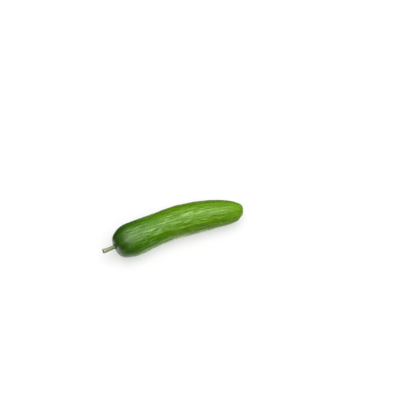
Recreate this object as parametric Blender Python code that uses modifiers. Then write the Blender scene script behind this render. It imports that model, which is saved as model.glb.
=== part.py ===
"""A mini cucumber lying on its side, with the cut stem still in its end.

Metres, +Z up. +X runs along the fruit towards the blossom end, and the bend bows towards +Y.
The origin is under the middle of the whole object, on the surface that it lies on.
"""

import math

import bpy
from mathutils import Vector

# Driving dimensions, in metres and radians.
FRUIT_LENGTH = 0.1422               # along the bent middle line, from end to end
STEM_END_WIDTH = 0.0348             # thickness that the body would have at the stem end
BLOSSOM_END_WIDTH = 0.0314          # thickness that the body would have at the blossom end
STEM_END_ROUND = 0.0217             # length over which the stem end closes
BLOSSOM_END_ROUND = 0.0630          # length over which the blossom end closes
STEM_END_BLUNTNESS = 2.75           # 2 closes as an ellipse, more is blunter
BLOSSOM_END_BLUNTNESS = 2.66
BEND = math.radians(32.0)           # how far the middle line turns from end to end
REST_FLAT_DEPTH = 0.0004            # how far the soft underside is pressed flat

STEM_LENGTH = 0.0138                # from the fruit's skin to the cut
STEM_SEAT_WIDTH = 0.0050            # where the stem sits in the fruit
STEM_NECK_WIDTH = 0.0037            # at its thinnest
STEM_CUT_WIDTH = 0.0047             # at the cut
STEM_FLARE = 0.0030                 # length over which the seat narrows to the neck
STEM_SEAT_DEPTH = 0.0015            # how deep the stem sits in the fruit
STEM_OFFSET_SIDE = 0.0018           # seat's place beside the middle line, towards the outer curve
STEM_OFFSET_UP = 0.0012             # seat's place above the middle line
STEM_SEAT_SWING = math.radians(3.0) # sideways turn from the middle line where the stem starts
STEM_CUT_SWING = math.radians(8.0)  # and at its cut
STEM_SEAT_LIFT = math.radians(4.5)  # upward turn where the stem starts
STEM_CUT_LIFT = math.radians(9.0)   # and at its cut
FIT_GAP = 0.0003                    # clearance between the stem and its socket

# Mesh fineness.
PROFILE_STEPS = 34
TURN_STEPS = 40
STEM_POINTS = 10
SOCKET_SIDES = 32
CUTTER_MARGIN = 0.010               # how far a cutter reaches past what it cuts


def remove_everything():
    for scene_object in list(bpy.data.objects):
        bpy.data.objects.remove(scene_object, do_unlink=True)


def new_collection(name):
    collection = bpy.data.collections.new(name)
    bpy.context.scene.collection.children.link(collection)
    return collection


def make_material(name, color, roughness, metallic=0.0):
    material = bpy.data.materials.new(name)
    material.use_nodes = True
    shader = material.node_tree.nodes["Principled BSDF"]
    shader.inputs["Base Color"].default_value = (*color, 1.0)
    shader.inputs["Roughness"].default_value = roughness
    shader.inputs["Metallic"].default_value = metallic
    return material


def add_object(name, mesh_or_curve, collection, parent=None, material=None):
    new_object = bpy.data.objects.new(name, mesh_or_curve)
    collection.objects.link(new_object)
    new_object.parent = parent
    if material is not None:
        mesh_or_curve.materials.append(material)
    return new_object


def make_cutter(name, primitive, collection, parent):
    """Turn the primitive that was just added into a named cutter."""
    primitive.name = name
    for owner in list(primitive.users_collection):
        owner.objects.unlink(primitive)
    collection.objects.link(primitive)
    primitive.parent = parent
    primitive.hide_render = True
    primitive.display_type = 'WIRE'
    return primitive


def cut(target, name, cutter):
    boolean = target.modifiers.new(name, 'BOOLEAN')
    boolean.operation = 'DIFFERENCE'
    boolean.solver = 'EXACT'
    boolean.object = cutter


# ------------------------------------------------------------------ fruit

def end_closing(distance, round_length, bluntness):
    """Share of the full thickness at a distance from an end: 0 at the tip, 1 on the body."""
    reach = min(distance / round_length, 1.0)
    return (1.0 - (1.0 - reach) ** bluntness) ** (1.0 / bluntness)


def fruit_radius(distance):
    """Radius of the fruit at a distance from its stem end, along the middle line."""
    share = distance / FRUIT_LENGTH
    width = STEM_END_WIDTH + (BLOSSOM_END_WIDTH - STEM_END_WIDTH) * share
    stem_closing = end_closing(distance, STEM_END_ROUND, STEM_END_BLUNTNESS)
    blossom_closing = end_closing(FRUIT_LENGTH - distance, BLOSSOM_END_ROUND, BLOSSOM_END_BLUNTNESS)
    return width / 2 * stem_closing * blossom_closing


def fruit_profile():
    """Half outline at +Y, from the blossom end to the stem end, with its points closest at the ends."""
    points = []
    for step in range(PROFILE_STEPS, -1, -1):
        share = (1.0 - math.cos(math.pi * step / PROFILE_STEPS)) / 2
        distance = FRUIT_LENGTH * share
        is_tip = step in (0, PROFILE_STEPS)
        radius = 0.0 if is_tip else fruit_radius(distance)
        points.append((distance - FRUIT_LENGTH / 2, radius, 0.0))
    return points


def fruit_tilt():
    """Pitch that lays the tapered body's underside flat on the surface."""
    return math.atan((STEM_END_WIDTH - BLOSSOM_END_WIDTH) / 2 / FRUIT_LENGTH)


def middle_line_height():
    """Height of the middle of the fruit's middle line above the surface."""
    middle_radius = (STEM_END_WIDTH + BLOSSOM_END_WIDTH) / 4
    return middle_radius * math.cos(fruit_tilt()) - REST_FLAT_DEPTH


def make_fruit(collection, parent):
    points = fruit_profile()
    edges = [(index, index + 1) for index in range(len(points) - 1)]
    mesh = bpy.data.meshes.new("fruit")
    mesh.from_pydata(points, edges, [])
    skin = make_material("cucumber_skin", (0.105, 0.270, 0.020), 0.36)
    fruit = add_object("fruit", mesh, collection, parent, skin)
    fruit.location.z = middle_line_height()
    fruit.rotation_euler.y = fruit_tilt()

    turn = fruit.modifiers.new("turn", 'SCREW')
    turn.axis = 'X'
    turn.steps = TURN_STEPS
    turn.render_steps = TURN_STEPS
    turn.use_merge_vertices = True
    turn.merge_threshold = 0.00001

    bow = fruit.modifiers.new("bow", 'SIMPLE_DEFORM')
    bow.deform_method = 'BEND'
    bow.deform_axis = 'Z'
    bow.angle = -BEND
    return fruit


def make_rest_cutter(collection, parent):
    """A block below the surface: it presses the underside flat."""
    bpy.ops.mesh.primitive_cube_add(size=1.0)
    cutter = make_cutter("rest_cutter", bpy.context.object, collection, parent)
    cutter.scale = (FRUIT_LENGTH, FRUIT_LENGTH, CUTTER_MARGIN)
    cutter.location.z = -CUTTER_MARGIN / 2
    return cutter


# ------------------------------------------------------------------ stem

def stem_seat_point():
    """Where the stem leaves the skin, in the fruit's own frame."""
    bend_radius = FRUIT_LENGTH / BEND
    half_turn = BEND / 2
    line_end = Vector((-bend_radius * math.sin(half_turn), bend_radius * (math.cos(half_turn) - 1.0), 0.0))
    outer_side = Vector((-math.sin(half_turn), math.cos(half_turn), 0.0))
    return line_end + outer_side * STEM_OFFSET_SIDE + Vector((0.0, 0.0, STEM_OFFSET_UP))


def stem_direction(share):
    """Direction of the stem at a share of its length, in the fruit's own frame."""
    angle = BEND / 2 - STEM_SEAT_SWING - (STEM_CUT_SWING - STEM_SEAT_SWING) * share
    lift = STEM_SEAT_LIFT + (STEM_CUT_LIFT - STEM_SEAT_LIFT) * share
    return Vector((-math.cos(angle) * math.cos(lift), -math.sin(angle) * math.cos(lift), math.sin(lift)))


def stem_radius(distance):
    """Radius of the stem at a distance from the skin; inside the fruit it keeps its seat width."""
    if distance <= 0.0:
        return STEM_SEAT_WIDTH / 2
    flare = max(1.0 - distance / STEM_FLARE, 0.0) ** 2
    share = distance / STEM_LENGTH
    body = STEM_NECK_WIDTH + (STEM_CUT_WIDTH - STEM_NECK_WIDTH) * share ** 2
    return (body + (STEM_SEAT_WIDTH - STEM_NECK_WIDTH) * flare) / 2


def make_stem(collection, parent):
    curve = bpy.data.curves.new("stem", 'CURVE')
    curve.dimensions = '3D'
    curve.bevel_depth = 1.0
    curve.bevel_resolution = 4
    curve.use_fill_caps = True
    spline = curve.splines.new('POLY')
    spline.points.add(STEM_POINTS)

    place = stem_seat_point() - stem_direction(0.0) * STEM_SEAT_DEPTH
    spline.points[0].co = (*place, 1.0)
    spline.points[0].radius = stem_radius(-STEM_SEAT_DEPTH)
    place = stem_seat_point()
    step_length = STEM_LENGTH / (STEM_POINTS - 1)
    for step in range(STEM_POINTS):
        share = step / (STEM_POINTS - 1)
        point = spline.points[step + 1]
        point.co = (*place, 1.0)
        point.radius = stem_radius(STEM_LENGTH * share)
        place = place + stem_direction(share) * step_length

    bark = make_material("stem_skin", (0.250, 0.330, 0.150), 0.60)
    return add_object("stem", curve, collection, parent, bark)


def make_socket_cutter(collection, parent):
    """A cylinder that is the stem's seat plus its clearance."""
    radius = STEM_SEAT_WIDTH / 2 + FIT_GAP
    inside = STEM_SEAT_DEPTH + FIT_GAP
    bpy.ops.mesh.primitive_cylinder_add(vertices=SOCKET_SIDES, radius=radius, depth=inside + CUTTER_MARGIN)
    cutter = make_cutter("socket_cutter", bpy.context.object, collection, parent)
    outward = stem_direction(0.0)
    cutter.rotation_euler = outward.to_track_quat('Z', 'Y').to_euler()
    cutter.location = stem_seat_point() + outward * (CUTTER_MARGIN - inside) / 2
    return cutter


# ------------------------------------------------------------------ whole object

def put_origin_under_middle(base, parts):
    """Slide the base so that the parts' box is centred on the origin along X and Y."""
    bpy.context.view_layer.update()
    depsgraph = bpy.context.evaluated_depsgraph_get()
    corners = []
    for part in parts:
        evaluated = part.evaluated_get(depsgraph)
        mesh = evaluated.to_mesh()
        corners += [evaluated.matrix_world @ vertex.co for vertex in mesh.vertices]
        evaluated.to_mesh_clear()
    for axis in (0, 1):
        values = [corner[axis] for corner in corners]
        base.location[axis] -= (min(values) + max(values)) / 2


def main():
    remove_everything()
    parts = new_collection("cucumber")
    cutters = new_collection("cutters")
    base = bpy.data.objects.new("cucumber_base", None)
    parts.objects.link(base)

    fruit = make_fruit(parts, base)
    stem = make_stem(parts, fruit)
    cut(fruit, "rest_flat", make_rest_cutter(cutters, base))
    cut(fruit, "stem_socket", make_socket_cutter(cutters, fruit))
    put_origin_under_middle(base, (fruit, stem))


main()
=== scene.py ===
# %% [markdown]
# # A mini cucumber for close viewing
#
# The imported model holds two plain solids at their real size: the fruit, and the short stem that was cut
# with it. This file keeps them as the measure of everything and makes a finished skin for each one.
# Lengths are in metres unless a name says millimetres. +X runs towards the blossom end and +Z is up.

# %% Load the frame
import math

import bmesh
import bpy
import numpy as np
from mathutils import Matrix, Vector, noise


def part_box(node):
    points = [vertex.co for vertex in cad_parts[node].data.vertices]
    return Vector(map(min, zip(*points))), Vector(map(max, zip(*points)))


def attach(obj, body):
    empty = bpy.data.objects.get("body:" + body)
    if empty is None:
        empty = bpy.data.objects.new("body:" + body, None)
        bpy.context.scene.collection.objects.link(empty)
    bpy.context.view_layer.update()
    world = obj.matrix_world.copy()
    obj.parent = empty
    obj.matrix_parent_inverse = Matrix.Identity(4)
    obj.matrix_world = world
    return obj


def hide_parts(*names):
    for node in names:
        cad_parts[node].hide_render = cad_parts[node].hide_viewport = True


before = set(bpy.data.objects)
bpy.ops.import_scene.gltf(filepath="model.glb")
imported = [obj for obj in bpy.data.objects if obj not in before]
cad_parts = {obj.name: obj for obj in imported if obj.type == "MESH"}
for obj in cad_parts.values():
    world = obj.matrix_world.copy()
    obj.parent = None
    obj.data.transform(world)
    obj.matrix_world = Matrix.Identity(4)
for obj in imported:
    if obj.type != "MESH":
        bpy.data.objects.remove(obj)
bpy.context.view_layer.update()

MM = 0.001

# %% [markdown]
# ## The camera
#
# Small produce is usually shot from about a metre with a long lens, which keeps both ends the same size.
# The camera here looks down steeply, so the whole length of the fruit lies open to it. It aims at the
# table beyond and to the right of the fruit, which leaves the fruit low and left of the middle.

# %% Camera
CAMERA_TURN = math.radians(-18.5)
CAMERA_RISE = math.radians(60.0)
CAMERA_DISTANCE = 1.029
CAMERA_LENS_MM = 85.0
AIM_RIGHT = 0.0293
AIM_BEYOND = 0.0411

camera_right = Vector((math.cos(CAMERA_TURN), math.sin(CAMERA_TURN), 0.0))
camera_beyond = Vector((-math.sin(CAMERA_TURN), math.cos(CAMERA_TURN), 0.0))
camera_aim = camera_right * AIM_RIGHT + camera_beyond * AIM_BEYOND
camera_back = Vector((0.0, 0.0, math.sin(CAMERA_RISE))) - camera_beyond * math.cos(CAMERA_RISE)

camera_data = bpy.data.cameras.new("camera")
camera_data.lens = CAMERA_LENS_MM
camera_data.sensor_width = 36.0
camera = bpy.data.objects.new("camera", camera_data)
bpy.context.scene.collection.objects.link(camera)
camera.location = camera_aim + camera_back * CAMERA_DISTANCE
camera.rotation_mode = 'QUATERNION'
camera.rotation_quaternion = (-camera_back).to_track_quat('-Z', 'Y')
bpy.context.scene.camera = camera
print("camera height, mm:", round(camera.location.z / MM))

# %% [markdown]
# ## Helpers for node materials
#
# A node material is a small graph. A few helpers keep the graphs readable: one adds a node and sets its
# fields, one joins an output to an input, and the rest make the nodes that are used most. Anything that
# is the same all over a surface is set straight on the shader's own socket, and only what varies gets a
# link.

# %% Node helpers
WHITE = (1.0, 1.0, 1.0, 1.0)


def add_node(tree, kind, inputs=None, **fields):
    node = tree.nodes.new(kind)
    for name, value in fields.items():
        setattr(node, name, value)
    for name, value in (inputs or {}).items():
        node.inputs[name].default_value = value
    return node


def join(tree, output, target):
    tree.links.new(output, target)
    return target


def attribute(tree, name):
    return add_node(tree, 'ShaderNodeAttribute', attribute_name=name)


def stretch(tree, vector, along, across):
    """Scale a skin place so that a pattern's marks get these sizes in millimetres."""
    node = add_node(tree, 'ShaderNodeVectorMath', operation='MULTIPLY')
    join(tree, vector, node.inputs[0])
    node.inputs[1].default_value = (1.0 / along, 1.0 / across, 1.0 / across)
    return node.outputs[0]


def noise_marks(tree, vector, along, across, detail=2.0, roughness=0.5):
    """Soft noise, about 0 to 1, with marks of these sizes in millimetres."""
    node = add_node(tree, 'ShaderNodeTexNoise', {'Scale': 1.0, 'Detail': detail, 'Roughness': roughness})
    join(tree, stretch(tree, vector, along, across), node.inputs['Vector'])
    return node.outputs['Fac']


# %% [markdown]
# ## Helpers for sums and colours
#
# Patterns become useful when they are scaled, added and turned into colour. These helpers do that: a sum,
# a change of range, a colour ramp and a mix of two colours. Each one returns the node's output, so calls
# can be put inside each other and read like a formula.

# %% Helpers for sums and colours
def math_node(tree, operation, first, second=None):
    node = add_node(tree, 'ShaderNodeMath', operation=operation)
    for socket, value in zip(node.inputs, (first, second)):
        if isinstance(value, (int, float)):
            socket.default_value = value
        elif value is not None:
            join(tree, value, socket)
    return node.outputs[0]


def remap(tree, value, low, high, to_low=0.0, to_high=1.0, smooth=True):
    """Turn low..high into to_low..to_high, flat outside."""
    node = add_node(tree, 'ShaderNodeMapRange', {'From Min': low, 'From Max': high,
                                                 'To Min': to_low, 'To Max': to_high})
    if smooth:
        node.interpolation_type = 'SMOOTHSTEP'
    join(tree, value, node.inputs['Value'])
    return node.outputs['Result']


def ramp(tree, value, stops):
    """A colour ramp from (position, colour) pairs."""
    node = add_node(tree, 'ShaderNodeValToRGB')
    elements = node.color_ramp.elements
    while len(elements) < len(stops):
        elements.new(0.5)
    for element, (position, color) in zip(elements, stops):
        element.position = position
        element.color = (*color, 1.0)
    join(tree, value, node.inputs['Fac'])
    return node.outputs['Color']


def mix_color(tree, factor, first, second, blend='MIX'):
    node = add_node(tree, 'ShaderNodeMix', data_type='RGBA', blend_type=blend)
    for socket, value in ((node.inputs[0], factor), (node.inputs[6], first), (node.inputs[7], second)):
        if isinstance(value, (int, float)):
            socket.default_value = value
        elif isinstance(value, tuple):
            socket.default_value = (*value, 1.0)
        else:
            join(tree, value, socket)
    return node.outputs[2]


def new_material(name):
    material = bpy.data.materials.new(name)
    material.use_nodes = True
    shader = material.node_tree.nodes["Principled BSDF"]
    return material, material.node_tree, shader


print("node helpers:", [helper.__name__ for helper in (noise_marks, math_node, remap, ramp, mix_color)])

# %% [markdown]
# ## The table
#
# The fruit lies on a white table that is lit a little from below, as product tables are. That keeps the
# shadow pale and short. A wide disc is enough: seen from low down, it still runs to the horizon. The glow
# is switched off for light that bounces from the table to the fruit, because it would lift the shade on
# the fruit's underside.

# %% Table
TABLE_RADIUS = 8.0
TABLE_SIDES = 96
TABLE_GLOW = 0.407
TABLE_PAINT = (0.30, 0.30, 0.30, 1.0)

table_mesh = bpy.data.meshes.new("table")
table_form = bmesh.new()
bmesh.ops.create_circle(table_form, cap_ends=True, segments=TABLE_SIDES, radius=TABLE_RADIUS)
table_form.to_mesh(table_mesh)
table_form.free()
table = bpy.data.objects.new("table", table_mesh)
bpy.context.scene.collection.objects.link(table)

table_paint, table_tree, table_shader = new_material("table_white")
table_shader.inputs['Base Color'].default_value = TABLE_PAINT
table_shader.inputs['Roughness'].default_value = 0.9
table_shader.inputs['Specular IOR Level'].default_value = 0.1
table_shader.inputs['Emission Color'].default_value = WHITE
seen = add_node(table_tree, 'ShaderNodeLightPath')
glow = remap(table_tree, seen.outputs['Is Diffuse Ray'], 0.0, 1.0, TABLE_GLOW, 0.0)
join(table_tree, glow, table_shader.inputs['Emission Strength'])
table_mesh.materials.append(table_paint)
print("table, m across:", 2 * TABLE_RADIUS, "glow:", TABLE_GLOW)

# %% [markdown]
# ## The light near the fruit
#
# The grey-green sheen low on a waxy fruit is a picture of the table near it. A table that is white right
# to the horizon would show in the whole lower half and turn it grey. So a glossy ray sees a pool of light
# in place of the white table: bright under and beside the fruit, and dim from a hand's width away. How
# far a place is from a bent line decides its brightness, and the line lies under the fruit.

# %% Pool of light
POOL_HALF = 0.078
POOL_INNER = 0.026
POOL_OUTER = 0.076
POOL_STRENGTH = 1.22
POOL_FAR_STRENGTH = 0.06
POOL_SIDE = 0.003
POOL_BOW = 3.0

on_table = add_node(table_tree, 'ShaderNodeSeparateXYZ')
join(table_tree, add_node(table_tree, 'ShaderNodeTexCoord').outputs['Object'], on_table.inputs[0])
from_centre = math_node(table_tree, 'ABSOLUTE', on_table.outputs['X'])
past_ends = math_node(table_tree, 'SUBTRACT', from_centre, POOL_HALF)
past_ends = math_node(table_tree, 'MAXIMUM', past_ends, 0.0)
bow = math_node(table_tree, 'MULTIPLY', on_table.outputs['X'], on_table.outputs['X'])
bow = math_node(table_tree, 'SUBTRACT', math_node(table_tree, 'MULTIPLY', bow, POOL_BOW), POOL_SIDE)
sideways = math_node(table_tree, 'ADD', on_table.outputs['Y'], bow)
squares = math_node(table_tree, 'ADD', math_node(table_tree, 'MULTIPLY', past_ends, past_ends),
                    math_node(table_tree, 'MULTIPLY', sideways, sideways))
from_line = math_node(table_tree, 'SQRT', squares)
pool = remap(table_tree, from_line, POOL_INNER, POOL_OUTER, POOL_STRENGTH, POOL_FAR_STRENGTH)
pool_light = add_node(table_tree, 'ShaderNodeEmission', {'Color': WHITE})
join(table_tree, pool, pool_light.inputs['Strength'])
table_mix = add_node(table_tree, 'ShaderNodeMixShader')
join(table_tree, seen.outputs['Is Glossy Ray'], table_mix.inputs[0])
join(table_tree, table_shader.outputs[0], table_mix.inputs[1])
join(table_tree, pool_light.outputs[0], table_mix.inputs[2])
join(table_tree, table_mix.outputs[0], table_tree.nodes["Material Output"].inputs['Surface'])
print("pool of light, mm from the line:", round(POOL_INNER / MM), "to", round(POOL_OUTER / MM))

# %% [markdown]
# ## The glow overhead
#
# The gloss on a waxy skin is a picture of the lights, so their shape matters more than their number. A
# broad soft glow fills the upper part of the room, and the rest of the room is dim, which is what turns
# the rims of the fruit a quiet grey. The glow is painted on the world by its angle from one axis. The
# camera itself sees the world as plain white.

# %% Glow overhead
GLOW_LEAN = math.radians(-14.0)
GLOW_STRENGTH = 0.8
GLOW_FULL_WITHIN = math.radians(20.0)
GLOW_GONE_BEYOND = math.radians(54.0)
ROOM_STRENGTH = 0.07


def leaning(to_camera, to_right=0.0):
    """Straight up, leaning to the camera and to its right by small angles."""
    up = Vector((0.0, 0.0, 1.0)) - camera_beyond * math.tan(to_camera) + camera_right * math.tan(to_right)
    return up.normalized()


world = bpy.data.worlds.new("studio")
bpy.context.scene.world = world
world.use_nodes = True
world_tree = world.node_tree
world_tree.nodes.clear()
direction = add_node(world_tree, 'ShaderNodeTexCoord')
towards_glow = add_node(world_tree, 'ShaderNodeVectorMath', operation='DOT_PRODUCT')
join(world_tree, direction.outputs['Generated'], towards_glow.inputs[0])
towards_glow.inputs[1].default_value = leaning(GLOW_LEAN)
room_strength = remap(world_tree, towards_glow.outputs['Value'], math.cos(GLOW_GONE_BEYOND),
                      math.cos(GLOW_FULL_WITHIN), ROOM_STRENGTH, GLOW_STRENGTH)
ray = add_node(world_tree, 'ShaderNodeLightPath')
room = add_node(world_tree, 'ShaderNodeBackground', {'Color': WHITE})
join(world_tree, room_strength, room.inputs['Strength'])
backdrop = add_node(world_tree, 'ShaderNodeBackground', {'Color': WHITE, 'Strength': 1.0})
choose = add_node(world_tree, 'ShaderNodeMixShader')
join(world_tree, ray.outputs['Is Camera Ray'], choose.inputs[0])
join(world_tree, room.outputs[0], choose.inputs[1])
join(world_tree, backdrop.outputs[0], choose.inputs[2])
world_out = add_node(world_tree, 'ShaderNodeOutputWorld')
join(world_tree, choose.outputs[0], world_out.inputs['Surface'])
print("glow overhead, times the room's light:", round(GLOW_STRENGTH / ROOM_STRENGTH, 1))

# %% [markdown]
# ## The lamp
#
# Most of the light comes from one very broad lamp above, leaning a little to the camera and to the right.
# A sun lamp with a wide angle acts as a big soft box far away: it gives the long bright band on top of
# the fruit, the glints in it, and a soft shadow. The high contrast look keeps the greens deep while the
# table stays white.

# %% Lamp
LAMP_LEAN = math.radians(11.0)
LAMP_LEAN_RIGHT = math.radians(13.0)
LAMP_WIDTH = math.radians(76.0)
LAMP_STRENGTH = 2.12

lamp_data = bpy.data.lights.new("overhead_lamp", 'SUN')
lamp_data.angle = LAMP_WIDTH
lamp_data.energy = LAMP_STRENGTH
lamp = bpy.data.objects.new("overhead_lamp", lamp_data)
bpy.context.scene.collection.objects.link(lamp)
lamp_side = leaning(LAMP_LEAN, LAMP_LEAN_RIGHT)
lamp.location = lamp_side
lamp.rotation_mode = 'QUATERNION'
lamp.rotation_quaternion = (-lamp_side).to_track_quat('-Z', 'Y')
bpy.context.scene.view_settings.view_transform = 'Standard'
bpy.context.scene.view_settings.look = 'High Contrast'
print("lamp's light on the table, of white:", round(LAMP_STRENGTH / math.pi, 2))

# %% [markdown]
# ## The fruit's plain form
#
# A cucumber is close to a turned shape that has been bent. Its middle line is an arc, and the skin is a
# set of rings threaded on that arc. The rings grow quickly at the blunt stem end, hold their width along
# the body, and close slowly at the blossom end. A superellipse closes an end with one number for how
# blunt it is. The rings are made one by one, and not with a Screw modifier, because every point gets its
# own relief later.

# %% Plain form
FRUIT_LENGTH = 0.1422
STEM_END_WIDTH = 0.0348
BLOSSOM_END_WIDTH = 0.0314
STEM_END_ROUND = 0.0217
BLOSSOM_END_ROUND = 0.0630
STEM_END_BLUNTNESS = 2.75
BLOSSOM_END_BLUNTNESS = 2.66
BEND = math.radians(32.0)
RINGS = 400
SIDES = 236


def end_closing(distance, round_length, bluntness):
    reach = np.clip(distance / round_length, 0.0, 1.0)
    return (1.0 - (1.0 - reach) ** bluntness) ** (1.0 / bluntness)


def plain_radius(distance):
    width = STEM_END_WIDTH + (BLOSSOM_END_WIDTH - STEM_END_WIDTH) * distance / FRUIT_LENGTH
    stem_closing = end_closing(distance, STEM_END_ROUND, STEM_END_BLUNTNESS)
    blossom_closing = end_closing(FRUIT_LENGTH - distance, BLOSSOM_END_ROUND, BLOSSOM_END_BLUNTNESS)
    return width / 2 * stem_closing * blossom_closing


print("radius halfway along, mm:", round(float(plain_radius(FRUIT_LENGTH / 2)) / MM, 2))

# %% [markdown]
# ## Bending and laying down
#
# A place on the skin is given by three numbers: how far along the middle line, how far out from it, and
# which way round. Turning them into x, y and z bends the form. The whole body is then tilted by half of
# its taper, so that its underside lies flat on the table.

# %% Bent places
def bent_place(distance, radius, angle):
    """Points around the bent middle line. Angle 0 is the outer side of the bend, a quarter turn is up."""
    turn = (distance / FRUIT_LENGTH - 0.5) * BEND
    bend_radius = FRUIT_LENGTH / BEND
    outward = bend_radius + radius * np.cos(angle)
    x = outward * np.sin(turn)
    y = outward * np.cos(turn) - bend_radius
    z = radius * np.sin(angle) + 0.0 * turn
    tilt = math.atan((STEM_END_WIDTH - BLOSSOM_END_WIDTH) / 2 / FRUIT_LENGTH)
    laid_x = x * math.cos(tilt) + z * math.sin(tilt)
    laid_z = z * math.cos(tilt) - x * math.sin(tilt)
    return np.stack([laid_x, y, laid_z], -1)


# %% [markdown]
# ## Even rings
#
# Rings at equal steps along the middle line would leave the round ends coarse. The outline is walked in
# fine steps first, and the rings are then set at equal steps of that walk over the skin. The form is
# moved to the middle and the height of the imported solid, so both share one frame.

# %% Even rings
even_steps = np.linspace(0.0, math.pi, 4001)
fine_distance = FRUIT_LENGTH * (1.0 - np.cos(even_steps)) / 2
fine_radius = plain_radius(fine_distance)
fine_strides = np.hypot(np.diff(fine_distance), np.diff(fine_radius))
fine_walk = np.concatenate([[0.0], np.cumsum(fine_strides)])
walk = np.linspace(0.0, fine_walk[-1], RINGS + 1)[:, None]
ring_distance = np.interp(walk, fine_walk, fine_distance)
ring_radius = plain_radius(ring_distance)
ring_angle = (np.arange(SIDES) * 2 * math.pi / SIDES)[None, :]

plain_skin = bent_place(ring_distance, ring_radius, ring_angle)
box_low, box_high = (np.array(corner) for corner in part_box("fruit"))
form_low, form_high = plain_skin.min((0, 1)), plain_skin.max((0, 1))
fruit_shift = (box_low + box_high - form_low - form_high) / 2
fruit_shift[2] = box_high[2] - form_high[2]
plain_skin = plain_skin + fruit_shift
print("walk over the skin, mm:", round(float(walk[-1, 0]) / MM, 1))
print("moved by, mm:", np.round(fruit_shift / MM, 2))

# %% [markdown]
# ## Places on the skin
#
# Relief and colour both follow the fruit's length, so each point of the skin gets a place of its own:
# how far it is from the stem over the skin, and where it is around. The place is kept as a point on a
# straight cylinder, so a pattern that is stretched along it runs along the bent fruit, closes on itself
# around it, and runs together at both ends as the real markings do. Adding zero times the other direction
# spreads a row or a column of numbers over the whole grid.

# %% Places
MEAN_RADIUS_MM = 16.5

walk_mm = walk / MM + 0.0 * ring_angle
around_y = MEAN_RADIUS_MM * np.cos(ring_angle) + 0.0 * walk
around_z = MEAN_RADIUS_MM * np.sin(ring_angle) + 0.0 * walk
skin_place = np.stack([walk_mm, around_y, around_z], -1)
share = ring_distance / FRUIT_LENGTH + 0.0 * ring_angle
slimness = np.clip(ring_radius / (MEAN_RADIUS_MM * MM), 0.0, 1.0)
print("skin points:", walk_mm.size)

# %% [markdown]
# ## Which way is out
#
# Relief is pushed straight out of the skin, so every point needs the direction that the skin faces. It is
# at right angles to a step along the fruit and to a step around it. At the two tips those steps vanish,
# so a tip takes the mean direction of the ring beside it.

# %% Directions
along_step = np.gradient(plain_skin, axis=0)
around_step = np.roll(plain_skin, -1, 1) - np.roll(plain_skin, 1, 1)
skin_normal = np.cross(around_step, along_step)
skin_normal[0] = skin_normal[1].mean(0)
skin_normal[-1] = skin_normal[-2].mean(0)
skin_normal /= np.linalg.norm(skin_normal, axis=-1, keepdims=True)
outside = ((plain_skin[RINGS // 2] - plain_skin[RINGS // 2].mean(0)) * skin_normal[RINGS // 2]).sum()
skin_normal *= math.copysign(1.0, outside)
print("top of the body faces up:", bool(skin_normal[RINGS // 2, SIDES // 4, 2] > 0.0))

# %% [markdown]
# ## Smooth noise on the skin
#
# Every kind of relief starts from smooth noise that is stretched along the fruit. It is read at a place
# on the straight cylinder, so it has no seam. Its marks are given by their length and width, because that
# is how a skin is described. A drift turns the place a little, which bends the marks.

# %% Smooth noise
def grain(along, across, shift=0.0, drift=0.0):
    """Smooth noise over the skin, mostly from -0.6 to 0.6, with marks of these sizes in millimetres."""
    turned = ring_angle + drift
    sideways = MEAN_RADIUS_MM * np.cos(turned) + 0.0 * walk
    upwards = MEAN_RADIUS_MM * np.sin(turned) + 0.0 * walk
    places = np.stack([walk_mm / along, sideways / across, upwards / across + shift], -1).reshape(-1, 3)
    return np.array([noise.noise(place) for place in places.tolist()]).reshape(walk_mm.shape)


def smooth_step(value, low, high):
    reach = np.clip((value - low) / (high - low), 0.0, 1.0)
    return reach * reach * (3.0 - 2.0 * reach)


print("noise, lowest and highest:", np.round([grain(12.0, 3.0).min(), grain(12.0, 3.0).max()], 2))

# %% [markdown]
# ## Uneven form
#
# No cucumber is a perfect turned form. It swells where seeds have set, thins where few have, and its ends
# lean to one side. Each swelling is a soft hill with a place, a size and a height of a millimetre or
# less. A negative height is a hollow. A short table of them is easier to adjust than one noise, and a
# little noise over it hides its order.

# %% Uneven form
BROAD_SWELLINGS = (
    # share of the length, degrees around from the outer side of the bend,
    # half length in mm, half turn in degrees, rise in mm
    (0.012, 60.0, 3.0, 80.0, 0.60),
    (0.010, 255.0, 3.0, 70.0, 0.95),
    (0.125, 33.0, 9.0, 48.0, 0.85),
    (0.070, 230.0, 5.0, 45.0, -0.55),
    (0.175, 212.0, 9.0, 40.0, 0.45),
    (0.22, 212.0, 20.0, 42.0, 0.85),
    (0.33, 30.0, 14.0, 45.0, -0.45),
    (0.46, 212.0, 55.0, 42.0, 0.62),
    (0.52, 35.0, 15.0, 50.0, 0.42),
    (0.64, 212.0, 30.0, 42.0, 0.36),
    (0.93, 20.0, 8.0, 70.0, 0.45),
    (0.93, 205.0, 7.0, 60.0, 0.35),
    (0.985, 32.0, 3.5, 70.0, 0.70),
    (0.985, 208.0, 3.0, 60.0, -1.00),
)


def angle_from(middle):
    """How far around each ring angle is from a middle one, from minus half a turn to half a turn."""
    return (ring_angle - middle + math.pi) % (2 * math.pi) - math.pi


def form_lumps():
    """The slight unevenness of the whole form, in millimetres."""
    lumps = 0.22 * grain(46.0, 30.0, 3.1)
    for place, degrees, half_length, half_turn, rise in BROAD_SWELLINGS:
        along = (share - place) * FRUIT_LENGTH / MM / half_length
        sideways = angle_from(math.radians(degrees))
        lumps = lumps + rise * np.exp(-along ** 2 - (sideways / math.radians(half_turn)) ** 2)
    return lumps


form_relief = form_lumps()
print("uneven form, mm:", round(float(form_relief.min()), 2), "to", round(float(form_relief.max()), 2))

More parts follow.
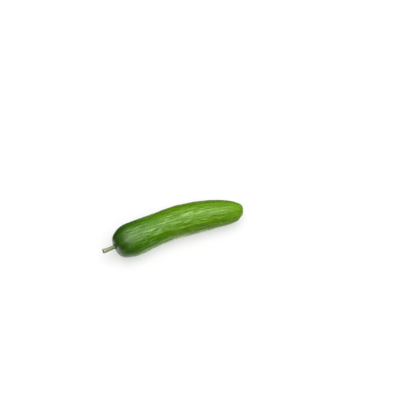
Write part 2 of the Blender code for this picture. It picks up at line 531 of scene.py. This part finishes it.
# %% [markdown]
# ## Ridges and wrinkles
#
# Soft ridges lie over the vessels inside and run from end to end. Between them the skin wrinkles along
# its length, in patches, and least near the ends. None of this is more than a few tenths of a millimetre
# high, but it breaks the gloss into long wavy glints. It is pushed into the mesh itself, so the glints
# move correctly from any side.

# %% Ridges and wrinkles
RIDGE_COUNT = 10


def long_ridges():
    """Soft ridges from end to end, a little higher where the ends close."""
    wander = 2.2 * grain(38.0, 14.0, 11.0)
    near_ends = smooth_step(np.abs(share - 0.5), 0.30, 0.47)
    return (0.06 + 0.06 * near_ends) * np.cos(RIDGE_COUNT * ring_angle + wander)


def wrinkles():
    """Rounded lengthwise swellings that come and go, with a few soft furrows between them."""
    patch = smooth_step(grain(26.0, 13.0, 21.0), -0.25, 0.25)
    calm_ends = smooth_step(share, 0.06, 0.24) * smooth_step(1.0 - share, 0.06, 0.24)
    drift = 1.4 * grain(17.0, 9.0, 51.0) * calm_ends / MEAN_RADIUS_MM
    swelling = grain(12.0, 3.0, 31.0, drift)
    furrow = -np.exp(-(grain(34.0, 3.6, 41.0, drift) / 0.07) ** 2)
    fine = grain(5.0, 1.7, 61.0, drift)
    height = 0.42 * swelling + 0.05 * furrow + 0.12 * fine
    return (0.12 + 0.88 * calm_ends) * (0.45 + 0.55 * patch) * height


ridge_relief = long_ridges()
wrinkle_relief = wrinkles()
print("wrinkles, mm:", round(float(wrinkle_relief.min()), 2), "to", round(float(wrinkle_relief.max()), 2))

# %% [markdown]
# ## Small bumps
#
# Young cucumbers of this kind keep a trace of their bumps, drawn out along the fruit as it grew. They are
# scattered from a fixed seed, so the fruit is the same each time. Each bump is a soft hill, about three
# times as long as it is wide and a sixth of a millimetre high or less. Where two meet, their heights add.

# %% Small bumps
BUMP_COUNT = 230
BUMP_FREE_END_MM = 14.0


def stretched_bumps():
    """Small bumps drawn out along the fruit, from a fixed seed."""
    picker = np.random.default_rng(12)
    height = np.zeros_like(walk_mm)
    girth = 2 * math.pi * MEAN_RADIUS_MM
    for _ in range(BUMP_COUNT):
        middle = picker.uniform(BUMP_FREE_END_MM, walk_mm.max() - BUMP_FREE_END_MM)
        turn = picker.uniform(0.0, 2 * math.pi)
        half_long = picker.uniform(1.6, 4.2)
        half_wide = picker.uniform(0.65, 1.15)
        rise = picker.uniform(0.05, 0.17)
        across = angle_from(turn) * girth / (2 * math.pi)
        reach = ((walk_mm - middle) / half_long) ** 2 + (across / half_wide) ** 2
        height += rise * np.exp(-reach * 1.4)
    return height


bump_relief = stretched_bumps()
print("bumps:", BUMP_COUNT, "highest, mm:", round(float(bump_relief.max()), 2))

# %% [markdown]
# ## All relief together
#
# The parts are added up in millimetres. Ridges, wrinkles and bumps shrink with the ring, so they don't
# crowd where the ends close, and everything fades out at the very tips, where the ends get a form of
# their own.

# %% All relief
fine_relief = (ridge_relief + wrinkle_relief + bump_relief) * slimness
end_fade = smooth_step(walk_mm, 0.5, 6.0) * smooth_step(walk_mm.max() - walk_mm, 0.5, 6.0)
relief_mm = (form_relief + fine_relief) * end_fade
print("relief, mm:", round(float(relief_mm.min()), 2), "to", round(float(relief_mm.max()), 2))

# %% [markdown]
# ## The ends
#
# The stem sits in a shallow dip with a soft lip round it. At the other end the flower has dropped and
# left a small corky scar in a slight hollow. Both are made by distance from one point, so they stay
# round however the rings run. A hill or a hollow is again a height times a bell curve of the distance.

# %% Ends
STEM_OFFSET_SIDE = 0.0018
STEM_OFFSET_UP = 0.0012
DIP_RADIUS_MM = 3.4
SCAR_RADIUS_MM = 1.6

seat_offset = math.hypot(STEM_OFFSET_SIDE, STEM_OFFSET_UP)
seat_angle = math.atan2(STEM_OFFSET_UP, STEM_OFFSET_SIDE)
stem_seat = bent_place(np.array(0.0), seat_offset, seat_angle) + fruit_shift
scar_middle = bent_place(np.array(FRUIT_LENGTH), 0.0, 0.0) + fruit_shift
from_seat = np.linalg.norm(plain_skin - stem_seat, axis=-1) / MM
from_scar = np.linalg.norm(plain_skin - scar_middle, axis=-1) / MM

seat_dip = -0.9 * np.exp(-(from_seat / DIP_RADIUS_MM) ** 2)
seat_lip = 0.22 * np.exp(-((from_seat - 1.35 * DIP_RADIUS_MM) / 1.3) ** 2)
scar_hollow = -0.55 * np.exp(-(from_scar / (1.5 * SCAR_RADIUS_MM)) ** 2)
scar_rim = 0.20 * np.exp(-((from_scar - SCAR_RADIUS_MM) / 0.55) ** 2)
scar_pith = 0.18 * np.exp(-(from_scar / (0.35 * SCAR_RADIUS_MM)) ** 2)
relief_mm = relief_mm + seat_dip + seat_lip + scar_hollow + scar_rim + scar_pith
print("stem's dip, mm:", round(float(relief_mm[from_seat < DIP_RADIUS_MM].min()), 2))

# %% [markdown]
# ## Laying the skin on the table
#
# The points now move out by their relief. A fresh fruit gives a little where it lies, so its underside is
# pressed flat. A hard cut at the table would leave a sharp edge around the flat. The square root here
# bends heights near zero up softly instead, and leaves all others as they are.

# %% Finished skin points
PRESS_SOFTNESS = 0.00012

skin = plain_skin + skin_normal * relief_mm[..., None] * MM
height = skin[..., 2]
skin[..., 2] = (height + np.sqrt(height ** 2 + PRESS_SOFTNESS ** 2)) / 2
print("underside, mm:", round(float(skin[..., 2].min()) / MM, 3))

# %% [markdown]
# ## From rings to a mesh
#
# A mesh is a list of points and a list of faces that name their points. Between two rings every face is
# four-sided. The first and last rings have shrunk to a point, so each becomes one corner with a fan of
# triangles, which keeps the mesh closed. The stem is built with the same function.

# %% Mesh from rings
def mesh_from_rings(name, rings, first_point=None, last_point=None):
    """A closed mesh from rings of points. A first or last point closes that end with a fan."""
    count, sides = rings.shape[:2]
    points = rings.reshape(-1, 3).tolist()
    faces = []
    for ring in range(count - 1):
        for side in range(sides):
            a = ring * sides + side
            b = ring * sides + (side + 1) % sides
            faces.append((a, b, b + sides, a + sides))
    for end_point, ring, flip in ((first_point, 0, True), (last_point, count - 1, False)):
        if end_point is None:
            continue
        tip = len(points)
        points.append(list(end_point))
        for side in range(sides):
            a = ring * sides + side
            b = ring * sides + (side + 1) % sides
            faces.append((b, a, tip) if flip else (a, b, tip))
    mesh = bpy.data.meshes.new(name)
    mesh.from_pydata(points, [], faces)
    mesh.shade_smooth()
    piece = bpy.data.objects.new(name, mesh)
    bpy.context.scene.collection.objects.link(piece)
    return piece


def face_outwards(piece):
    form = bmesh.new()
    form.from_mesh(piece.data)
    bmesh.ops.recalc_face_normals(form, faces=form.faces)
    if form.calc_volume(signed=True) < 0:
        bmesh.ops.reverse_faces(form, faces=form.faces)
    form.to_mesh(piece.data)
    form.free()


print("faces between two rings:", SIDES)

# %% [markdown]
# ## The fruit's mesh
#
# The place on the skin, the share of the length, the relief and the distance from each end's mark are
# stored on the mesh as attributes, one value for each point. The material reads them, so its patterns
# follow the fruit however it is turned. Then the piece is tied to its body, and the solid it stands for is
# hidden.

# %% Fruit mesh
def store_vectors(mesh, name, values):
    layer = mesh.attributes.new(name, 'FLOAT_VECTOR', 'POINT')
    layer.data.foreach_set("vector", values.astype(np.float32).ravel())


def store_numbers(mesh, name, values):
    layer = mesh.attributes.new(name, 'FLOAT', 'POINT')
    layer.data.foreach_set("value", values.astype(np.float32).ravel())


def ring_values(grid):
    """Values for the inner rings, then for the two end points."""
    inner = grid[1:-1].reshape(-1, *grid.shape[2:])
    ends = np.stack([grid[0].mean(0), grid[-1].mean(0)])
    return np.concatenate([inner, ends])


fruit = mesh_from_rings("fruit_skin", skin[1:-1], skin[0].mean(0), skin[-1].mean(0))
store_vectors(fruit.data, "skin_place", ring_values(skin_place))
store_numbers(fruit.data, "share", ring_values(share))
store_numbers(fruit.data, "relief", ring_values(relief_mm - form_relief * end_fade))
store_numbers(fruit.data, "from_seat", ring_values(from_seat))
store_numbers(fruit.data, "from_scar", ring_values(from_scar))
face_outwards(fruit)
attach(fruit, "root")
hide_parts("fruit")
print("fruit faces:", len(fruit.data.polygons))

# %% [markdown]
# ## The skin's ground colour
#
# The skin is a deep bluish green at the stem, fresh grass green along the body and yellow green at the
# blossom end. A colour ramp over the share of the length holds this change in one place. A slow noise
# shifts the place on the ramp a little, so no colour ends on a straight line around the fruit.

# %% Skin ground colour
skin_paint, tree, shader = new_material("cucumber_skin")
place = attribute(tree, "skin_place").outputs['Vector']
share_out = attribute(tree, "share").outputs['Fac']
relief_out = attribute(tree, "relief").outputs['Fac']

cloud = noise_marks(tree, place, 30.0, 14.0)
cloud_shift = remap(tree, cloud, 0.2, 0.8, -0.06, 0.06, smooth=False)
shifted_share = math_node(tree, 'ADD', share_out, cloud_shift)
ground = ramp(tree, shifted_share, [
    (0.00, (0.036, 0.088, 0.0120)),
    (0.06, (0.043, 0.112, 0.0100)),
    (0.15, (0.060, 0.172, 0.0060)),
    (0.30, (0.096, 0.230, 0.0038)),
    (0.45, (0.120, 0.258, 0.0032)),
    (0.65, (0.132, 0.272, 0.0036)),
    (0.84, (0.136, 0.278, 0.0045)),
    (0.93, (0.166, 0.320, 0.0230)),
    (1.00, (0.176, 0.330, 0.0300)),
])
print("skin nodes so far:", len(tree.nodes))

# %% [markdown]
# ## Stripes and mottle
#
# Pale stripes start at the blossom end and fade on the way to the stem, and dark ones lie between them.
# Both are noise that is drawn out very long. A finer mottle makes the green a little lighter and darker
# from place to place. The crests of the wrinkles are painted paler: a painted highlight along them, which
# leaves the furrows looking shaded.

# %% Stripes and mottle
PALE_STRIPE = (0.200, 0.350, 0.012)
DARK_STRIPE = (0.045, 0.125, 0.002)
CREST_HIGHLIGHT_PAINT = (0.180, 0.340, 0.012)

stripe = remap(tree, noise_marks(tree, place, 120.0, 4.2, 3.0, 0.55), 0.50, 0.66)
stripe_reach = remap(tree, share_out, 0.25, 0.90, 0.10, 0.55)
striped = mix_color(tree, math_node(tree, 'MULTIPLY', stripe, stripe_reach), ground, PALE_STRIPE)
dark = remap(tree, noise_marks(tree, place, 70.0, 3.2, 2.0), 0.52, 0.72, 0.0, 0.34)
shaded = mix_color(tree, dark, striped, DARK_STRIPE)
mottle = noise_marks(tree, place, 9.0, 3.0, 4.0, 0.6)
mottle_tone = ramp(tree, mottle, [(0.3, (0.88, 0.89, 0.88)), (0.7, (1.12, 1.10, 1.1))])
mottled = mix_color(tree, 1.0, shaded, mottle_tone, 'MULTIPLY')
# Painted highlight: the skin is painted paler where its relief is high, on the crests of the wrinkles.
crest = remap(tree, relief_out, -0.10, 0.28, 0.0, 0.22)
crest_highlighted = mix_color(tree, crest, mottled, CREST_HIGHLIGHT_PAINT)
print("skin nodes so far:", len(tree.nodes))

# %% [markdown]
# ## Flakes and dashes
#
# The wax lies in thin long flakes that shine more than the skin between them. They are also painted a
# lighter green, which is a painted glint. They fade near both ends.
# Fine pale dashes lie in the grain as well, where there were once small hairs. They are partly the skin's
# own pale marks and partly painted glints. The dashes are the cells of a Voronoi pattern, stretched along
# the fruit and kept only in patches.

# %% Flakes and dashes
FLAKE_GLINT_PAINT = (0.235, 0.430, 0.035)
DASH_AND_GLINT_PAINT = (0.250, 0.420, 0.045)

flake_noise = noise_marks(tree, place, 12.0, 2.5, 2.0, 0.55)
flake_where = remap(tree, noise_marks(tree, place, 30.0, 9.0), 0.34, 0.58, 0.25, 1.0)
flake_reach = math_node(tree, 'MULTIPLY', remap(tree, share_out, 0.02, 0.22, 0.15, 1.0),
                        remap(tree, share_out, 0.84, 0.97, 1.0, 0.30))
flake = math_node(tree, 'MULTIPLY', remap(tree, flake_noise, 0.47, 0.62), flake_where)
flake = math_node(tree, 'MULTIPLY', flake, flake_reach)
# Painted glint: the flakes are painted a lighter green, on top of their stronger reflection.
glint_painted = mix_color(tree, math_node(tree, 'MULTIPLY', flake, 0.20), crest_highlighted, FLAKE_GLINT_PAINT)

dash_cells = add_node(tree, 'ShaderNodeTexVoronoi', {'Scale': 1.0, 'Randomness': 1.0})
join(tree, stretch(tree, place, 4.6, 1.7), dash_cells.inputs['Vector'])
dash = remap(tree, dash_cells.outputs['Distance'], 0.10, 0.24, 0.55, 0.0)
dash_where = remap(tree, noise_marks(tree, place, 14.0, 7.0), 0.42, 0.62)
# Partly painted glint: the pale dashes are the skin's own marks and also stand in for small glints.
dashed_and_glinted = mix_color(tree, math_node(tree, 'MULTIPLY', dash, dash_where), glint_painted, DASH_AND_GLINT_PAINT)
print("skin nodes so far:", len(tree.nodes))

# %% [markdown]
# ## Colour at the two ends
#
# The skin turns a paler grey round the stem, partly its own colour and partly painted light on the lip
# round the stem's dip, and it yellows round the scar. The scar itself is dry cork, with an uneven edge.
# Each is a fade over the distance from that end's middle, laid over the colours so far.

# %% End colours
GREY_AND_LIP_LIGHT = (0.090, 0.160, 0.050)
YELLOWED = (0.220, 0.370, 0.020)

seat_out = attribute(tree, "from_seat").outputs['Fac']
scar_out = attribute(tree, "from_scar").outputs['Fac']
# Partly painted light: a pale grey patch over the stem's dip and lip, partly the skin's own colour.
grey_and_lip_lit = mix_color(tree, remap(tree, seat_out, 3.0, 5.2, 0.30, 0.0), dashed_and_glinted, GREY_AND_LIP_LIGHT)
haloed = mix_color(tree, remap(tree, scar_out, 2.0, 9.0, 0.60, 0.0), grey_and_lip_lit, YELLOWED)
edge_noise = noise_marks(tree, place, 1.6, 6.0, 3.0, 0.6)
ragged = remap(tree, edge_noise, 0.25, 0.75, -0.7, 0.7, smooth=False)
scar_mark = remap(tree, math_node(tree, 'ADD', scar_out, ragged), 1.3, 2.2, 0.92, 0.0)
cork_noise = noise_marks(tree, place, 0.7, 2.6, 3.0, 0.6)
cork = ramp(tree, cork_noise, [(0.3, (0.20, 0.155, 0.070)), (0.7, (0.46, 0.38, 0.20))])
join(tree, mix_color(tree, scar_mark, haloed, cork), shader.inputs['Base Color'])
print("skin nodes so far:", len(tree.nodes))

# %% [markdown]
# ## Gloss
#
# Under a thin wax the gloss is soft, and it changes a little from place to place. It is softest at the
# stem end, and the cork is dull. The flakes reflect more than the skin between them, and the blossom end
# less than the rest. Roughness decides how sharp a reflection is, the specular level how strong.

# %% Gloss
SKIN_IOR = 1.49
CORK_ROUGHNESS = 0.75

wax = noise_marks(tree, place, 12.0, 6.0, 3.0)
wax_roughness = math_node(tree, 'ADD', remap(tree, wax, 0.3, 0.7, 0.23, 0.34),
                          remap(tree, share_out, 0.04, 0.22, 0.08, 0.0))
rough = add_node(tree, 'ShaderNodeMix', data_type='FLOAT')
join(tree, scar_mark, rough.inputs[0])
join(tree, wax_roughness, rough.inputs[2])
rough.inputs[3].default_value = CORK_ROUGHNESS
join(tree, rough.outputs[0], shader.inputs['Roughness'])
shader.inputs['IOR'].default_value = SKIN_IOR
wax_level = math_node(tree, 'ADD', math_node(tree, 'MULTIPLY', flake, 0.65),
                      remap(tree, share_out, 0.15, 0.50, 0.62, 0.42))
wax_level = math_node(tree, 'ADD', wax_level, remap(tree, share_out, 0.78, 0.95, 0.0, -0.26))
join(tree, wax_level, shader.inputs['Specular IOR Level'])
print("skin nodes so far:", len(tree.nodes))

# %% [markdown]
# ## Bump
#
# What is finer than the mesh is left to a bump: the flakes' own thickness, the pores and the dashes. A
# bump tilts the light on the surface without moving it, so it only serves for relief that never shows in
# the outline.

# %% Bump
BUMP_HEIGHT = 0.0009

pores = noise_marks(tree, place, 1.2, 0.6, 3.0, 0.6)
pits = math_node(tree, 'ADD', math_node(tree, 'MULTIPLY', pores, 0.04),
                 math_node(tree, 'MULTIPLY', dash, 0.06))
bump_pattern = math_node(tree, 'ADD', pits, math_node(tree, 'MULTIPLY', flake_noise, flake_reach))
bump = add_node(tree, 'ShaderNodeBump', {'Strength': 1.0, 'Distance': BUMP_HEIGHT})
join(tree, bump_pattern, bump.inputs['Height'])
join(tree, bump.outputs['Normal'], shader.inputs['Normal'])
fruit.data.materials.append(skin_paint)
print("skin nodes:", len(tree.nodes))

# %% [markdown]
# ## The stem's course
#
# A cucumber's stem flares where it enters the fruit, thins to a neck, and thickens a little towards the
# cut. It leaves the fruit a little sideways and upwards, and bends on. Two small functions describe it:
# one gives its direction at a share of its length, the other its width at a distance from the skin.

# %% Stem course
STEM_LENGTH = 0.0138
STEM_SEAT_WIDTH = 0.0050
STEM_NECK_WIDTH = 0.0037
STEM_CUT_WIDTH = 0.0047
STEM_FLARE = 0.0030
STEM_SEAT_DEPTH = 0.0015
STEM_SEAT_SWING = math.radians(3.0)
STEM_CUT_SWING = math.radians(8.0)
STEM_SEAT_LIFT = math.radians(4.5)
STEM_CUT_LIFT = math.radians(9.0)


def stem_heading(reach):
    """Direction of the stem at a share of its length."""
    angle = BEND / 2 - STEM_SEAT_SWING - (STEM_CUT_SWING - STEM_SEAT_SWING) * reach
    lift = STEM_SEAT_LIFT + (STEM_CUT_LIFT - STEM_SEAT_LIFT) * reach
    return Vector((-math.cos(angle) * math.cos(lift), -math.sin(angle) * math.cos(lift), math.sin(lift)))


def stem_width(distance):
    outside = max(distance, 0.0)
    flare = max(1.0 - outside / STEM_FLARE, 0.0) ** 2
    body = STEM_NECK_WIDTH + (STEM_CUT_WIDTH - STEM_NECK_WIDTH) * (outside / STEM_LENGTH) ** 2
    return body + (STEM_SEAT_WIDTH - STEM_NECK_WIDTH) * flare


print("stem's width at the cut, mm:", round(stem_width(STEM_LENGTH) / MM, 2))

# %% [markdown]
# ## The stem's rings
#
# A cucumber's stem has five soft ridges. A bevelled curve would give a round rod, so the stem is rings
# again: each ring is a circle with five ridges, which twist slowly on their way out. A little noise makes
# the ridges uneven. Each point keeps its place on the straightened stem for the material.

# %% Stem rings
STEM_RINGS = 90
STEM_SIDES = 80
STEM_RIDGES = 5
RIDGE_TWIST = 0.35
MEAN_STEM_RADIUS_MM = 1.9

stem_rings = []
stem_places = []
point = Vector(stem_seat) - stem_heading(0.0) * STEM_SEAT_DEPTH
step_length = (STEM_LENGTH + STEM_SEAT_DEPTH) / (STEM_RINGS - 1)
for ring in range(STEM_RINGS):
    distance = ring * step_length - STEM_SEAT_DEPTH
    reach = max(distance, 0.0) / STEM_LENGTH
    heading = stem_heading(reach)
    side = heading.cross(Vector((0.0, 0.0, 1.0))).normalized()
    up = side.cross(heading)
    for step in range(STEM_SIDES):
        angle = step * 2 * math.pi / STEM_SIDES
        ridge = 0.09 * math.cos(STEM_RIDGES * (angle + RIDGE_TWIST * reach))
        ridge += 0.02 * math.cos(2 * STEM_RIDGES * angle)
        noise_place = (distance / MM / 3.0, 1.6 * math.cos(angle), 1.6 * math.sin(angle))
        radius = stem_width(distance) / 2 * (1.03 + ridge + 0.05 * noise.noise(noise_place))
        stem_rings.append(point + (side * math.cos(angle) + up * math.sin(angle)) * radius)
        stem_places.append((distance / MM, MEAN_STEM_RADIUS_MM * math.cos(angle),
                            MEAN_STEM_RADIUS_MM * math.sin(angle), ridge))
    point = point + heading * step_length

stem_grid = np.array([list(ring_point) for ring_point in stem_rings]).reshape(STEM_RINGS, STEM_SIDES, 3)
stem_places = np.array(stem_places)
print("stem points:", len(stem_rings))

# %% [markdown]
# ## The cut
#
# A knife leaves a flat end with a slightly rounded edge, and the soft middle dries and sinks. So smaller
# rings follow the last one. Each has a share of its size and a rise, first a little outwards and then
# inwards. The cut gets its own value in the mesh, because it isn't skin.

# %% Cut face and stem mesh
CUT_RINGS = ((0.96, 0.07), (0.88, 0.10), (0.72, 0.02), (0.50, -0.06), (0.28, -0.10), (0.12, -0.08))
CUT_MIDDLE_SINK = 0.06

cut_middle = stem_grid[-1].mean(0)
cut_heading = np.array(stem_heading(1.0))
cut_edge = stem_grid[-1] - cut_middle
cut_grid = [cut_middle + cut_edge * size + cut_heading * rise * MM for size, rise in CUT_RINGS]
stem_grid = np.concatenate([stem_grid, np.array(cut_grid)])
cut_tip = cut_middle - cut_heading * CUT_MIDDLE_SINK * MM
stem = mesh_from_rings("stem_skin", stem_grid, stem_grid[0].mean(0), cut_tip)

cut_places = [stem_places[-STEM_SIDES:] * (1.0, size, size, 1.0) for size, _ in CUT_RINGS]
tip_places = [[-STEM_SEAT_DEPTH / MM, 0.0, 0.0, 0.0], [STEM_LENGTH / MM, 0.0, 0.0, 0.0]]
places = np.concatenate([stem_places, *cut_places, tip_places])
is_cut = np.zeros(len(places))
is_cut[STEM_RINGS * STEM_SIDES:] = 1.0
is_cut[-2] = 0.0
store_vectors(stem.data, "stem_place", places[:, :3])
store_numbers(stem.data, "ridge", places[:, 3])
store_numbers(stem.data, "cut", is_cut)
face_outwards(stem)
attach(stem, "root")
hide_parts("stem")
print("stem faces:", len(stem.data.polygons))

# %% [markdown]
# ## The stem's colour
#
# The stem is paler and drier than the skin: green at the fruit, greyer along its length, tan at the cut.
# The grooves between its ridges are darker, and fine fibres run along it. The fibres are noise again,
# very thin for their length.

# %% Stem colour
GROOVE_TINT = (0.060, 0.095, 0.025)

stem_paint, tree, shader = new_material("cucumber_stem")
place = attribute(tree, "stem_place").outputs['Vector']
ridge_out = attribute(tree, "ridge").outputs['Fac']
stem_axes = add_node(tree, 'ShaderNodeSeparateXYZ')
join(tree, place, stem_axes.inputs[0])
length_share = remap(tree, stem_axes.outputs['X'], 0.0, STEM_LENGTH / MM, smooth=False)
stem_ground = ramp(tree, length_share, [
    (0.00, (0.120, 0.185, 0.060)),
    (0.20, (0.240, 0.320, 0.150)),
    (0.65, (0.310, 0.375, 0.215)),
    (1.00, (0.430, 0.410, 0.310)),
])
groove = remap(tree, ridge_out, -0.10, 0.04, 0.38, 0.0)
grooved = mix_color(tree, groove, stem_ground, GROOVE_TINT)
fibre = noise_marks(tree, place, 6.0, 0.35, 3.0, 0.6)
fibre_tone = ramp(tree, fibre, [(0.3, (0.75, 0.77, 0.72)), (0.7, (1.20, 1.18, 1.15))])
fibred = mix_color(tree, 1.0, grooved, fibre_tone, 'MULTIPLY')
print("stem nodes so far:", len(tree.nodes))

# %% [markdown]
# ## The cut's colour and the stem's finish
#
# The cut face is a pale ring of fibre round a darker, softer middle, with a brown edge where the skin has
# dried. So its colour follows the distance from the stem's middle. The whole stem is dull, and its fibres
# stand out a tenth of a millimetre.

# %% Stem finish
cut_out = attribute(tree, "cut").outputs['Fac']
across_stem = add_node(tree, 'ShaderNodeVectorMath', operation='MULTIPLY')
join(tree, place, across_stem.inputs[0])
across_stem.inputs[1].default_value = (0.0, 1.0, 1.0)
from_middle = add_node(tree, 'ShaderNodeVectorMath', operation='LENGTH')
join(tree, across_stem.outputs[0], from_middle.inputs[0])
cut_share = math_node(tree, 'DIVIDE', from_middle.outputs['Value'], MEAN_STEM_RADIUS_MM)
cut_face = ramp(tree, cut_share, [
    (0.00, (0.300, 0.290, 0.160)),
    (0.35, (0.360, 0.350, 0.210)),
    (0.60, (0.500, 0.480, 0.330)),
    (0.85, (0.420, 0.390, 0.250)),
    (1.00, (0.230, 0.210, 0.110)),
])
cut_grain = noise_marks(tree, place, 1.0, 0.30, 3.0, 0.6)
cut_tone = ramp(tree, cut_grain, [(0.3, (0.7, 0.7, 0.7)), (0.7, (1.2, 1.2, 1.2))])
cut_toned = mix_color(tree, 1.0, cut_face, cut_tone, 'MULTIPLY')
join(tree, mix_color(tree, cut_out, fibred, cut_toned), shader.inputs['Base Color'])
join(tree, remap(tree, fibre, 0.3, 0.7, 0.48, 0.66), shader.inputs['Roughness'])
bump = add_node(tree, 'ShaderNodeBump', {'Strength': 0.5, 'Distance': 0.00012})
join(tree, fibre, bump.inputs['Height'])
join(tree, bump.outputs['Normal'], shader.inputs['Normal'])
stem.data.materials.append(stem_paint)
print("stem nodes:", len(tree.nodes))
